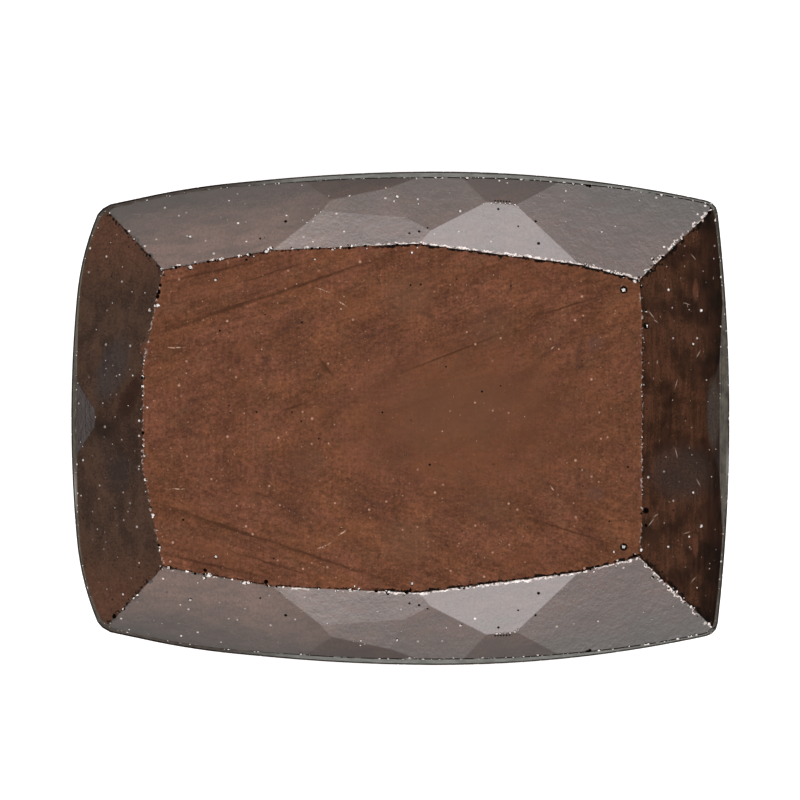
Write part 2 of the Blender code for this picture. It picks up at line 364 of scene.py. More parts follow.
def sharp_stone(planes):
    """A block cut along every facet's plane, so that all edges are whole."""
    low, high = (corner / MM for corner in solid_box)
    deselect()
    size = (high - low) * BLOCK_MARGIN
    bpy.ops.mesh.primitive_cube_add(size=1, location=(low + high) / 2, scale=size)
    stone = bpy.context.object
    stone.name = "cut-sapphire"
    bpy.ops.object.transform_apply(location=True, rotation=True, scale=True)
    bpy.ops.object.mode_set(mode="EDIT")
    for point, normal in planes:
        cut(point, normal)
    bpy.ops.mesh.select_all(action="SELECT")
    bpy.ops.mesh.remove_doubles(threshold=SHORTEST_EDGE)
    bpy.ops.mesh.select_all(action="SELECT")
    bpy.ops.mesh.normals_make_consistent(inside=False)
    bpy.ops.object.mode_set(mode="OBJECT")
    return stone


def edge_pairs(stone):
    """The ends of each of the stone's sharp edges, and the normals of the two facets beside it."""
    normals = {}
    for face in stone.data.polygons:
        for key in face.edge_keys:
            normals.setdefault(key, []).append(face.normal.copy())
    points = [v.co.copy() for v in stone.data.vertices]
    pairs = []
    for (a, b), (first, second) in sorted(normals.items()):
        if math.degrees(first.angle(second)) > SHARP:
            pairs.append((points[a], points[b], first, second))
    return pairs


def cut(point, normal):
    """Takes off what stands outside a plane from the mesh in edit mode, and closes it."""
    bpy.ops.mesh.select_all(action="SELECT")
    bpy.ops.mesh.bisect(
        plane_co=point, plane_no=normal, use_fill=True, clear_outer=True, threshold=CUT_GAP
    )


def wears_round(start, end, first, second):
    """Whether an edge is smoothly rounded.

    Chips broke the others: the table's edges at its ends and on its left half, and the ridges at
    the corners.
    """
    if max(first.z, second.z) > LEVEL:
        return abs(first.x + second.x) < LENGTHWISE and start.x + end.x > 0
    return min(first.z, second.z) < WALL or first.xy.angle(second.xy) < RIDGE_TURN


def round_edges(stone, edges):
    """Wears each of these edges round, by planes that touch an arc from one facet to the other."""
    choose(stone)
    bpy.ops.object.mode_set(mode="EDIT")
    for start, end, first, second in edges:
        half = first.angle(second) / 2
        at_rim = -WALL < min(first.z, second.z) < WALL < max(first.z, second.z)
        radius = (RIM_ROUNDING if at_rim else EDGE_ROUNDING) / math.tan(half)
        centre = (start + end) / 2 - (first + second).normalized() * radius / math.cos(half)
        for step in range(1, EDGE_STEPS + 1):
            normal = first.slerp(second, step / (EDGE_STEPS + 1))
            cut(centre + normal * radius, normal)
    bpy.ops.object.mode_set(mode="OBJECT")


# Chips and pits.


def lumps(materials):
    """A few small broken shapes, each about one millimetre in radius, to be copied and shrunk."""
    shapes = []
    for seed in range(LUMP_SHAPES):
        deselect()
        bpy.ops.mesh.primitive_ico_sphere_add(subdivisions=2, radius=1.0)
        lump = bpy.context.object
        bpy.ops.object.mode_set(mode="EDIT")
        bpy.ops.mesh.select_all(action="SELECT")
        bpy.ops.transform.vertex_random(offset=LUMP_ROUGHNESS, seed=seed)
        bpy.ops.mesh.convex_hull()
        bpy.ops.object.mode_set(mode="OBJECT")
        for material in materials:
            lump.data.materials.append(material)
        for face in lump.data.polygons:
            face.material_index = BROKEN
        shapes.append(lump)
    return shapes


def any_turn(chance):
    return Euler([chance.uniform(0, math.tau) for _ in range(3)]).to_matrix().to_4x4()


def kind_at(length, kinds):
    """The first kind in the list that reaches as far along the stone as this."""
    return next(kind for reach, kind in kinds if length < reach)


def chip_size(middle, first, second):
    """An edge's chips to a millimetre, their least and greatest radius, and their spread."""
    if max(first.z, second.z) > LEVEL:
        if abs(first.x + second.x) < LENGTHWISE:
            return kind_at(middle.x, TABLE_SIDE_CHIPS)
        return TABLE_RIGHT_CHIPS if middle.x > 0 else TABLE_LEFT_CHIPS
    if min(first.z, second.z) < -WALL:
        return BACK_CHIPS
    if min(first.z, second.z) < WALL:
        return kind_at(middle.x, GIRDLE_CHIPS)
    if first.xy.angle(second.xy) > RIDGE_TURN:
        return RIGHT_RIDGE_CHIPS if first.x + second.x > 0 else LEFT_RIDGE_CHIPS
    return CROWN_CHIPS


def chips_on_edges(edges, chance):
    """Places and radii of chips: most lie on the edges, some beside them on either facet."""
    found = []
    for start, end, first, second in edges:
        density, least, most, spread = chip_size((start + end) / 2, first, second)
        wanted = density * (end - start).length
        for _ in range(int(wanted + chance.random())):
            radius = least + (most - least) * chance.random() ** 2
            facet, other = chance.choice([(first, second), (second, first)])
            inwards = facet.cross(end - start).normalized()
            inwards *= -1 if inwards.dot(other) > 0 else 1
            offset = spread * chance.random() ** 3
            outward = (first + second).normalized() if offset < radius else facet
            place = start.lerp(end, chance.random()) + inwards * offset
            found.append((place + outward * radius * chance.uniform(*CHIP_OUTWARD), radius))
    return found


def pits_on_facets(planes, chance):
    """Places and radii of pits in the crown: the listed ones, and small ones scattered about."""
    low, high = (corner / MM for corner in solid_box)
    crown = [(point, normal) for point, normal in planes if normal.z > WALL]
    pits = [(x, side * y, radius) for x, y, radius in LARGE_PITS + DARK_PITS for side in (1, -1)]
    for _ in range(PIT_COUNT):
        x, y = chance.uniform(low.x, high.x), chance.uniform(low.y, high.y)
        pits.append((x, y, chance.uniform(*PIT_RADIUS)))
    found = []
    for x, y, radius in pits:
        heights = [
            point.z - ((x - point.x) * normal.x + (y - point.y) * normal.y) / normal.z
            for point, normal in crown
        ]
        z = min(heights)
        normal = crown[heights.index(z)][1]
        outward = normal * radius * chance.uniform(*PIT_OUTWARD)
        found.append((Vector((x, y, z)) + outward, radius))
    return found


def layers(places):
    """The places dealt into as few layers as keep those of one layer clear of each other."""
    dealt = []
    for place, radius in places:
        for layer in dealt:
            if all((place - p).length > (radius + r) * CHIP_GAP for p, r in layer):
                layer.append((place, radius))
                break
        else:
            dealt.append([(place, radius)])
    return dealt


def break_out(stone, shapes, places, chance):
    """Takes lumps out of the stone at these places."""
    copies = []
    for place, radius in places:
        shape = chance.choice(shapes)
        copy = shape.copy()
        copy.data = shape.data.copy()
        copy.data.transform(Matrix.Translation(place) @ any_turn(chance) @ Matrix.Scale(radius, 4))
        bpy.context.scene.collection.objects.link(copy)
        copies.append(copy)
    deselect()
    for copy in copies:
        copy.select_set(True)
    bpy.context.view_layer.objects.active = copies[0]
    bpy.ops.object.join()
    cutter = bpy.context.object
    breaking = stone.modifiers.new("chips", "BOOLEAN")
    breaking.operation = "DIFFERENCE"
    breaking.solver = "MANIFOLD"
    breaking.object = cutter
    apply_modifier(stone, breaking)
    bpy.data.objects.remove(cutter)


# Surfaces.


def add(tree, kind, settings=None, **inputs):
    """A new shader node. Inputs are values or other nodes' outputs; _ stands for a space."""
    made = tree.nodes.new("ShaderNode" + kind)
    for name, value in (settings or {}).items():
        setattr(made, name, value)
    for name, value in inputs.items():
        connect(tree, made.inputs[name.replace("_", " ")], value)
    return made


def connect(tree, socket, value):
    if isinstance(value, bpy.types.NodeSocket):
        tree.links.new(value, socket)
    else:
        socket.default_value = value


def maths(tree, operation, *values):
    made = tree.nodes.new("ShaderNodeMath")
    made.operation = operation
    for socket, value in zip(made.inputs, values):
        connect(tree, socket, value)
    return made.outputs[0]


def both(tree, first, second):
    return maths(tree, "MULTIPLY", first, second)


def lacking(tree, mask):
    """1 where the mask is 0, and 0 where it is 1."""
    return maths(tree, "SUBTRACT", 1.0, mask)


def either_way(tree, value):
    return maths(tree, "ABSOLUTE", value)


def backwards(tree, value):
    return maths(tree, "MULTIPLY", value, -1.0)


def strongest(tree, masks):
    masks = iter(masks)
    found = next(masks)
    for mask in masks:
        found = maths(tree, "MAXIMUM", found, mask)
    return found


def blend(tree, share, first, second, how="MIX"):
    """The first colour with a share of the second over it."""
    made = tree.nodes.new("ShaderNodeMix")
    made.data_type = "RGBA"
    made.blend_type = how
    made.clamp_factor = True
    for index, value in zip((0, 6, 7), (share, first, second)):
        connect(tree, made.inputs[index], (*value, 1.0) if isinstance(value, tuple) else value)
    return made.outputs[2]


def between(tree, value, low, high, to_low=0.0, to_high=1.0):
    """A smooth step from to_low to to_high as the value goes from low to high."""
    made = add(tree, "MapRange", {"interpolation_type": "SMOOTHSTEP"}, Value=value)
    names = ("From Min", "From Max", "To Min", "To Max")
    for name, number in zip(names, (low, high, to_low, to_high)):
        made.inputs[name].default_value = number
    return made.outputs["Result"]


def coordinate(tree, place, axis):
    return add(tree, "SeparateXYZ", Vector=place).outputs[axis]


def distance_along(tree, place, way):
    """How far a place lies this way, in units of the way's length."""
    made = add(tree, "VectorMath", {"operation": "DOT_PRODUCT"}, Vector=place)
    made.inputs[1].default_value = way
    return made.outputs["Value"]


def less(tree, vector, taken):
    made = add(tree, "VectorMath", {"operation": "SUBTRACT"}, Vector=vector)
    made.inputs[1].default_value = taken
    return made.outputs["Vector"]


def scaled(tree, vector, factor):
    made = add(tree, "VectorMath", {"operation": "SCALE"}, Vector=vector, Scale=factor)
    return made.outputs["Vector"]


def place_in_mm(tree):
    return scaled(tree, add(tree, "TexCoord").outputs["Object"], 1 / MM)


def folded(tree, place):
    """The place with its far half laid over the near one: the stone grew alike on both."""
    parts = add(tree, "SeparateXYZ", Vector=place).outputs
    across = either_way(tree, parts["Y"])
    return add(tree, "CombineXYZ", X=parts["X"], Y=across, Z=parts["Z"]).outputs[0]


def ragged(tree, place, reach, size):
    """The place shifted by up to this much, each spot of this size another way."""
    noise = add(tree, "TexNoise", Vector=place, Scale=1 / size, Detail=3.0, Roughness=0.65)
    shift = less(tree, noise.outputs["Color"], (0.5, 0.5, 0.5))
    moved = add(tree, "VectorMath", {"operation": "MULTIPLY_ADD"}, Vector=shift)
    moved.inputs[1].default_value = (2 * reach, 2 * reach, 0.0)
    tree.links.new(place, moved.inputs[2])
    return moved.outputs["Vector"]


def laid(tree, place, size, turn):
    """The place counted in this size along, across and in height, turned on the plan."""
    return add(
        tree,
        "Mapping",
        {"vector_type": "TEXTURE"},
        Vector=place,
        Rotation=(0.0, 0.0, math.radians(turn)),
        Scale=size,
    ).outputs["Vector"]


def grain(tree, place, size, turn, detail, roughness):
    """Noise whose features have this size along, across and in height, turned on the plan."""
    way = laid(tree, place, (*size, min(size))[:3], turn)
    noise = add(tree, "TexNoise", Vector=way, Scale=1.0, Detail=detail, Roughness=roughness)
    return noise.outputs["Fac"]


def patch(tree, place, middle, half_size, turn, core=0.0, most=1.0):
    """A soft oval on the plan: the most within its core, down to 0 at its rim."""
    along = Vector((math.cos(math.radians(turn)), math.sin(math.radians(turn)), 0.0))
    beyond = Vector((-along.y, along.x, 0.0))
    from_middle = less(tree, place, (*middle, 0.0))
    shares = [
        distance_along(tree, from_middle, axis / half)
        for axis, half in zip((along, beyond), half_size)
    ]
    reached = add(tree, "CombineXYZ", X=shares[0], Y=shares[1]).outputs[0]
    away = add(tree, "VectorMath", {"operation": "LENGTH"}, Vector=reached).outputs["Value"]
    return between(tree, away, core, 1.0, most, 0.0)


def ovals(tree, place, marks):
    """Patches for one mask, each made as it is called for, so the shader holds few at a time."""
    return (patch(tree, place, middle, (long, wide), turn) for middle, long, wide, turn in marks)


def specks(tree, place, gap, radius, share):
    """Soft dots of up to this radius, at most one in each cell of this size, in a share of them."""
    cells = add(tree, "TexVoronoi", Vector=place, Scale=1 / gap).outputs
    chance = add(tree, "SeparateColor", Color=cells["Color"]).outputs
    size = between(tree, chance["Green"], 0.0, 1.0, 0.4 * radius / gap, radius / gap)
    inside = between(tree, maths(tree, "DIVIDE", cells["Distance"], size), 0.5, 1.0, 1.0, 0.0)
    chosen = maths(tree, "LESS_THAN", chance["Red"], share)
    strength = between(tree, chance["Blue"], 0.0, 1.0, 0.3, 1.0)
    return both(tree, both(tree, inside, chosen), strength)


def dashes(tree, place, size, turn, share):
    """Short scratches of about this length and width, all turned one way on the plan."""
    length, width = (DASH_GAP * measure for measure in size)
    return specks(tree, laid(tree, place, (length, width, width), turn), 1.0, 0.2, share)


def beside(tree, place, start, end):
    """How far a place lies to the left of the line from one point on the plan to another."""
    along = (Vector(end) - Vector(start)).normalized()
    left = Vector((-along.y, along.x, 0.0))
    across = distance_along(tree, place, left)
    return maths(tree, "SUBTRACT", across, left.dot(Vector((*start, 0.0))))


def outside(tree, place, points):
    """How far a place lies to the left of a run of lines that turns right at each point."""
    lines = zip(points, points[1:])
    return strongest(tree, (beside(tree, place, start, end) for start, end in lines))


def strip(tree, value, low, high):
    """1 where a value lies between the limits."""
    rising = between(tree, value, low - SOFT_RIM, low + SOFT_RIM)
    return both(tree, rising, between(tree, value, high - SOFT_RIM, high + SOFT_RIM, 1.0, 0.0))


def varied(tree, colour, noise, depth):
    """The colour made lighter and darker by this share as the noise goes."""
    return scaled(tree, colour, between(tree, noise, *NOISE_SPAN, 1.0 - depth, 1.0 + depth))


def speckled(tree, place, colour, depth):
    """The colour with the stone's fine grain, which varies it by this share."""
    return varied(tree, colour, grain(tree, place, (0.030, 0.030), 0.0, 3.0, 0.65), depth)


def calm_middle(tree, place):
    """1 in the table's middle, where there are few marks."""
    return patch(tree, place, (0.75, 0.0), (2.1, 1.3), 0.0, 0.3)


def table_colour(tree, place):
    """Red brown and olive brown in clouds, with threads and darker growth lines that run aslant."""
    near = ragged(tree, folded(tree, place), 0.03, 0.25)
    length = coordinate(tree, place, "X")
    across = coordinate(tree, near, "Y")
    calm = calm_middle(tree, near)

    hue = grain(tree, near, (0.55, 0.35), 22.0, 5.0, 0.65)
    leftwards = between(tree, length, -2.8, 0.4, 0.06, 0.0)
    browner = between(tree, maths(tree, "ADD", hue, leftwards), 0.40, 0.62)
    colour = blend(tree, browner, *TABLE_BROWNS)
    olive = grain(tree, near, (0.40, 0.22), 30.0, 5.0, 0.65)
    colour = blend(tree, between(tree, olive, 0.50, 0.68, 0.0, 0.7), colour, TABLE_OLIVE)
    clouds = [grain(tree, spot, (0.50, 0.28), 24.0, 6.0, 0.65) for spot in (place, near)]
    clouds = blend(tree, between(tree, across, 0.45, 0.85), *clouds)
    colour = blend(tree, both(tree, calm, 0.5), varied(tree, colour, clouds, 0.28), colour)
    threads = grain(tree, near, (0.50, 0.035), 18.0, 3.0, 0.6)
    threaded = varied(tree, colour, threads, 0.12)
    colour = blend(tree, between(tree, across, 0.4, 1.2, 0.2, 1.0), colour, threaded)

    rough = varied(tree, colour, grain(tree, place, (0.080, 0.060), 0.0, 3.0, 0.6), 0.24)
    rough = varied(tree, rough, grain(tree, place, (0.030, 0.30), 0.0, 3.0, 0.6), 0.10)
    rough = speckled(tree, place, rough, 0.30)
    for turn, share in WISP_TURNS:
        wisps = dashes(tree, near, (0.13, 0.030), turn, share)
        rough = blend(tree, both(tree, wisps, 0.75), rough, WISP)
    colour = blend(tree, both(tree, calm, 0.75), rough, colour)

    for spot, patches in ((near, TABLE_PATCHES), (place, LONE_PATCHES)):
        for middle, half_size, turn, share, tint in patches:
            shape = patch(tree, spot, middle, half_size, turn, 0.2, share)
            colour = blend(tree, shape, colour, tint)
    colour = scaled(tree, colour, between(tree, length, -2.6, -0.6, 0.955, 0.99))
    colour = scaled(tree, colour, between(tree, length, -0.2, 2.8, 1.0, 0.93))

    flecks = between(tree, grain(tree, place, (0.060, 0.022), 24.0, 2.0, 0.5), 0.62, 0.72)
    flecks = both(tree, flecks, lacking(tree, calm))
    colour = blend(tree, both(tree, flecks, 0.35), colour, FLECK)
    lines = strongest(tree, ovals(tree, near, GROWTH_LINES))
    lines = maths(tree, "MAXIMUM", lines, strongest(tree, ovals(tree, place, LONE_LINES)))
    colour = blend(tree, both(tree, lines, 0.74), colour, GROWTH_LINE)
    smudges = strongest(tree, ovals(tree, near, SMUDGES))
    colour = blend(tree, both(tree, smudges, 0.32), colour, SMUDGE)
    lines = strongest(tree, ovals(tree, near, HAIRLINES))
    gaps = grain(tree, place, (0.03, 0.03), 0.0, 2.0, 0.5)
    lines = both(tree, lines, between(tree, gaps, 0.42, 0.56, 0.2, 1.0))
    colour = blend(tree, lines, colour, HAIRLINE)
    fewer = between(tree, calm, 0.0, 1.0, 1.0, 0.35)
    for gap, radius, share, strength, tint in TABLE_DOTS:
        dots = specks(tree, place, gap, radius, share)
        colour = blend(tree, both(tree, dots, both(tree, fewer, strength)), colour, tint)
    return colour


def side_colour(tree, place):
    """Grey brown, redder and lighter towards the table and the left end."""
    parts = add(tree, "SeparateXYZ", Vector=place).outputs
    near_table = blend(tree, between(tree, parts["X"], -1.6, -0.4), *SIDE_NEAR_TABLE)
    rise = between(tree, parts["Z"], 2.50, 3.18)
    colour = blend(tree, rise, SIDE_NEAR_GIRDLE, near_table)
    rightwards = between(tree, parts["X"], 1.4, 2.4)
    colour = blend(tree, rightwards, colour, SIDE_DARKENING, "MULTIPLY")
    colour = varied(tree, colour, grain(tree, place, (0.45, 0.16), 8.0, 4.0, 0.6), 0.32)
    colour = varied(tree, colour, grain(tree, place, (0.025, 0.30), 0.0, 3.0, 0.6), 0.18)
    return speckled(tree, place, colour, 0.22)


def right_end_colour(tree, place):
    """Near black with red-brown streaks that run across the stone, a painted grey reflection and a
    few scratches.
    """
    near = folded(tree, place)
    streaks = grain(tree, place, (0.055, 0.45), 0.0, 4.0, 0.65)
    colour = blend(tree, between(tree, streaks, 0.34, 0.68), *RIGHT_END_BROWNS)
    shade = grain(tree, place, (0.30, 0.30), 0.0, 4.0, 0.55)
    colour = scaled(tree, colour, between(tree, shade, 0.32, 0.62, 0.52, 1.32))
    length = coordinate(tree, place, "X")
    colour = scaled(tree, colour, between(tree, length, 3.45, 3.75, 1.06, 0.74))
    grey_reflection = patch(tree, place, (3.40, -0.66), (0.52, 0.44), 0.0, 0.4)
    colour = blend(tree, both(tree, grey_reflection, 0.75), colour, RIGHT_GREY_REFLECTION)
    corner = patch(tree, near, (3.04, 1.48), (0.16, 0.24), 20.0, 0.2)
    colour = blend(tree, both(tree, corner, 0.20), colour, RIGHT_CORNER)
    flame = patch(tree, near, (3.585, 1.55), (0.05, 0.19), 0.0, 0.3)
    colour = blend(tree, both(tree, flame, 0.45), colour, RIGHT_FLAME)
    height = coordinate(tree, place, "Z")
    colour = scaled(tree, colour, between(tree, height, 2.64, 2.80, 0.45, 1.0))
    film = patch(tree, place, (3.80, 0.08), (0.10, 0.50), 0.0, 0.6)
    colour = blend(tree, film, colour, RIGHT_FILM)
    lines = strongest(tree, ovals(tree, near, SCRATCHES))
    turns = (-52.0, 12.0, 78.0)
    short = strongest(tree, (dashes(tree, place, (0.075, 0.014), turn, 0.06) for turn in turns))
    lines = maths(tree, "MAXIMUM", lines, short)
    colour = blend(tree, both(tree, lines, 0.8), colour, SCRATCH)
    return speckled(tree, place, colour, 0.26)


def left_end_colour(tree, place):
    """Dark olive brown, redder towards the corners, with darker and blue-grey patches that are
    painted reflections.
    """
    clouds = grain(tree, place, (0.22, 0.45), 0.0, 4.0, 0.6)
    colour = blend(tree, between(tree, clouds, 0.36, 0.64), *LEFT_END_BROWNS)
    across = either_way(tree, coordinate(tree, place, "Y"))
    colour = blend(tree, between(tree, across, 1.3, 2.3), colour, LEFT_CORNERS)
    for middle, half_size, turn, share, tint in LEFT_PATCHES:
        shape = patch(tree, place, middle, half_size, turn, 0.4, share)
        colour = blend(tree, shape, colour, tint)
    colour = varied(tree, colour, grain(tree, place, (0.12, 0.12), 0.0, 3.0, 0.6), 0.15)
    colour = varied(tree, colour, grain(tree, place, (0.26, 0.022), 0.0, 3.0, 0.6), 0.09)
    leftwards = backwards(tree, facing(tree)["X"])
    colour = blend(tree, between(tree, leftwards, 0.64, 0.68), colour, LEFT_BREAK)
    return speckled(tree, place, colour, 0.26)


def facing(tree):
    """How far the surface faces along each axis."""
    normal = add(tree, "NewGeometry").outputs["True Normal"]
    return add(tree, "SeparateXYZ", Vector=normal).outputs


def faces_up(tree):
    """1 on the crown and the girdle's upper wall, 0 on the back."""
    return between(tree, facing(tree)["Z"], 0.02, 0.08)


def is_level(tree):
    """1 on the table, 0 on the facets round it."""
    return between(tree, facing(tree)["Z"], *TABLE_RISE)


def faces_sideways(tree):
    """1 on the facets of the long sides, 0 on the table and the ends."""
    faces = facing(tree)
    lengthwise = either_way(tree, faces["X"])
    more = maths(tree, "SUBTRACT", either_way(tree, faces["Y"]), lengthwise)
    return between(tree, more, 0.02, 0.06)


def stone_colour(tree, place):
    """The colour of each facet: bright in the table, where a sheen is painted in, and darker in
    those that lean away.
    """
    faces = facing(tree)
    leaning = between(tree, faces["Z"], *TABLE_RISE, 1.0, 0.0)
    rightwards = between(tree, faces["X"], *END_FACING)
    leftwards = between(tree, backwards(tree, faces["X"]), *END_FACING)
    downwards = between(tree, faces["Z"], -0.3, -0.1, 1.0, 0.0)
    table = table_colour(tree, place)
    colour = blend(tree, leaning, table, side_colour(tree, place))
    colour = blend(tree, rightwards, colour, right_end_colour(tree, place))
    colour = blend(tree, leftwards, colour, left_end_colour(tree, place))
    return blend(tree, downwards, colour, scaled(tree, table, 0.7))


def strokes(tree, place, mask, share, size=0.10):
    """The part of a mask that broken strokes of this length cover, over about this share of it."""
    cover = grain(tree, place, (size, size), 0.0, 3.0, 0.6)
    middle = 0.5 + (0.5 - share) * 0.30
    return both(tree, mask, between(tree, cover, middle - 0.03, middle + 0.03))


def marked(tree, place, spots, reach):
    """1 within this many radii of the spots on the crown."""
    near = folded(tree, place)
    marks = (patch(tree, near, (x, y), (r * reach, r * reach), 0.0, 0.8) for x, y, r in spots)
    return both(tree, strongest(tree, marks), faces_up(tree))


def edge_wear_highlights_and_shade(tree, place, colour):
    """Pale and dark broken strokes along the table's outline and the ridges at the corners: the
    pale ones are frosty wear and a painted highlight, the dark ones painted shade.
    """
    near = ragged(tree, folded(tree, place), 0.055, 0.070)
    torn = ragged(tree, folded(tree, place), 0.110, 0.075)
    side = faces_sideways(tree)
    right_part = between(tree, coordinate(tree, place, "X"), -0.6, -0.1)
    along = outside(tree, near, TABLE_SIDE)
    at_left = beside(tree, torn, *LEFT_RIDGE)
    at_right = beside(tree, torn, *RIGHT_RIDGE)
    level = is_level(tree)
    leaning = lacking(tree, level)
    crown = faces_up(tree)

    # Painted shade: dark strokes just inside the table's edge, finer ones on its left half, and
    # beside the ridges.
    below = both(tree, level, strip(tree, along, -0.032, 0.010))
    fine_dark = both(tree, strongest(tree, [level, side]), strip(tree, along, -0.014, 0.006))
    fine_dark = both(tree, strokes(tree, place, fine_dark, 0.80), 0.92)
    dark = strongest(tree, [
        both(tree, right_part, strokes(tree, place, below, 0.95)),
        both(tree, lacking(tree, right_part), fine_dark),
        strokes(tree, place, both(tree, leaning, strip(tree, at_right, -0.040, 0.000)), 0.85),
        strokes(tree, place, both(tree, leaning, strip(tree, at_left, -0.026, 0.002)), 0.85),
    ])
    colour = blend(tree, both(tree, dark, crown), colour, PAINTED_SHADE)

    # Painted highlights, partly frosty wear: pale strokes along the table's sides and ends and
    # beside the right ridge.
    pale_edge = both(tree, side, strip(tree, along, -0.010, 0.017))
    ends = both(tree, lacking(tree, side), strongest(tree, [
        strip(tree, outside(tree, near, TABLE_LEFT), -0.012, 0.008),
        strip(tree, outside(tree, near, TABLE_RIGHT), -0.006, 0.008),
    ]))
    pale = strongest(tree, [
        both(tree, right_part, strokes(tree, place, pale_edge, 0.80)),
        both(tree, strokes(tree, place, pale_edge, 0.14), 0.7),
        strokes(tree, place, both(tree, side, strip(tree, at_right, 0.000, 0.024)), 0.78),
        both(tree, strokes(tree, place, ends, 0.35, 0.06), 0.45),
    ])
    tone = between(tree, grain(tree, place, (0.05, 0.05), 0.0, 3.0, 0.6), 0.3, 0.7)
    return blend(tree, both(tree, pale, crown), colour, blend(tree, tone, *WORN_EDGE_AND_HIGHLIGHT))


def new_surface(name):
    material = bpy.data.materials.new(name)
    material.use_nodes = True
    return material, material.node_tree, material.node_tree.nodes["Principled BSDF"]


def bump(tree, height, depth, under=None):
    """The normals of a relief of this depth in metres, laid over those of another one if given."""
    made = add(tree, "Bump", Strength=1.0, Distance=depth, Height=height)
    if under:
        connect(tree, made.inputs["Normal"], under)
    return made.outputs["Normal"]


def polished_sapphire():
    """Polished faces: brown stone with a painted sheen in the table, pale specks, tiny pits painted
    black as shade, worn edges with painted highlights and shade, and polishing lines.
    """
    material, tree, shader = new_surface("polished sapphire")
    place = place_in_mm(tree)
    level = is_level(tree)
    colour = edge_wear_highlights_and_shade(tree, place, stone_colour(tree, place))
    # Painted shade: tiny pits, and rings round the two largest pits, in black.
    shaded_tiny_pits = specks(tree, place, 0.11, 0.020, 0.26)
    dark = maths(tree, "MAXIMUM", shaded_tiny_pits, marked(tree, place, DARK_RIMS, 1.0))
    colour = blend(tree, dark, colour, PAINTED_SHADE)
    share = between(tree, coordinate(tree, place, "X"), -1.2, 0.6, 0.42, 0.14)
    share = maths(tree, "MAXIMUM", share, both(tree, level, 0.36))
    share = both(tree, share, between(tree, calm_middle(tree, place), 0.0, 1.0, 1.0, 0.25))
    pale_specks = specks(tree, place, 0.10, 0.021, share)
    colour = blend(tree, pale_specks, colour, blend(tree, level, *PALE_SPECKS))
    at_end = between(tree, either_way(tree, facing(tree)["X"]), 0.25, 0.35, 0.0, 0.22)
    colour = blend(tree, specks(tree, place, 0.075, 0.013, at_end), colour, END_SPECKS)
    connect(tree, shader.inputs["Base Color"], colour)
    lines = grain(tree, place, (0.030, 0.60), 0.0, 3.0, 0.6)
    roughness = between(tree, lines, 0.3, 0.7, *POLISH_ROUGHNESS)
    connect(tree, shader.inputs["Roughness"], roughness)
    relief = bump(tree, lines, POLISH_LINES_DEPTH)
    for size, detail, roughness, depth in POLISH_WAVES:
        relief = bump(tree, grain(tree, place, size, 0.0, detail, roughness), depth, relief)
    connect(tree, shader.inputs["Normal"], relief)
    shader.inputs["IOR"].default_value = IOR
    return material


def ground_sapphire():
    """The girdle's walls, ground but not polished: their greys are partly their ground surface and
    partly a painted reflection of the floor, and painted shade gives them a dark line where they
    are widest.
    """
    material, tree, shader = new_surface("ground sapphire")
    place = place_in_mm(tree)
    faces = facing(tree)
    upright = faces["Z"]
    marks = grain(tree, place, (0.12, 0.12), 0.0, 4.0, 0.6)
    lines = grain(tree, place, (0.9, 0.9, 0.014), 0.0, 3.0, 0.6)
    share = between(tree, maths(tree, "ADD", marks, lines), 0.7, 1.3)
    sideways = between(tree, either_way(tree, faces["Y"]), 0.45, 0.75)
    rightwards = between(tree, coordinate(tree, place, "X"), -2.3, -0.9)
    right_sides = blend(tree, share, *WALL_AT_RIGHT_SIDES)
    left_sides = blend(tree, share, *WALL_AT_LEFT_SIDES)
    sides = blend(tree, rightwards, left_sides, right_sides)
    colour = blend(tree, sideways, blend(tree, share, *WALL_AT_ENDS), sides)
    for middle, half_size, tint in WALL_PATCHES:
        shape = patch(tree, place, middle, half_size, 0.0, 0.3, 0.8)
        colour = blend(tree, shape, colour, tint)
    # Painted shade: dark strokes where the walls meet the crown on the right sides.
    rim = both(tree, both(tree, sideways, rightwards), between(tree, upright, 0.30, 0.36))
    colour = blend(tree, strokes(tree, place, rim, 0.75), colour, PAINTED_SHADE)
    # Painted shade: a dark outline just below where the stone is widest, with broken black strokes
    # on the left.
    rise = maths(tree, "SUBTRACT", coordinate(tree, place, "Z"), GIRDLE_LEVEL)
    level = maths(tree, "SQRT", lacking(tree, both(tree, upright, upright)))
    inwards = both(tree, rise, maths(tree, "DIVIDE", upright, level))
    narrow = between(tree, inwards, 0.014, 0.022, 1.0, 0.0)
    outline = both(tree, narrow, between(tree, rise, -0.02, -0.01))
    colour = blend(tree, outline, colour, OUTLINE)
    leftwards = both(tree, sideways, lacking(tree, rightwards))
    broken = strokes(tree, place, both(tree, leftwards, outline), 0.70)
    colour = blend(tree, broken, colour, PAINTED_SHADE)
    connect(tree, shader.inputs["Base Color"], colour)
    roughness = between(tree, marks, 0.3, 0.7, *GROUND_ROUGHNESS)
    connect(tree, shader.inputs["Roughness"], roughness)
    shader.inputs["IOR"].default_value = IOR
    shader.inputs["Specular IOR Level"].default_value = 0.0
    return material


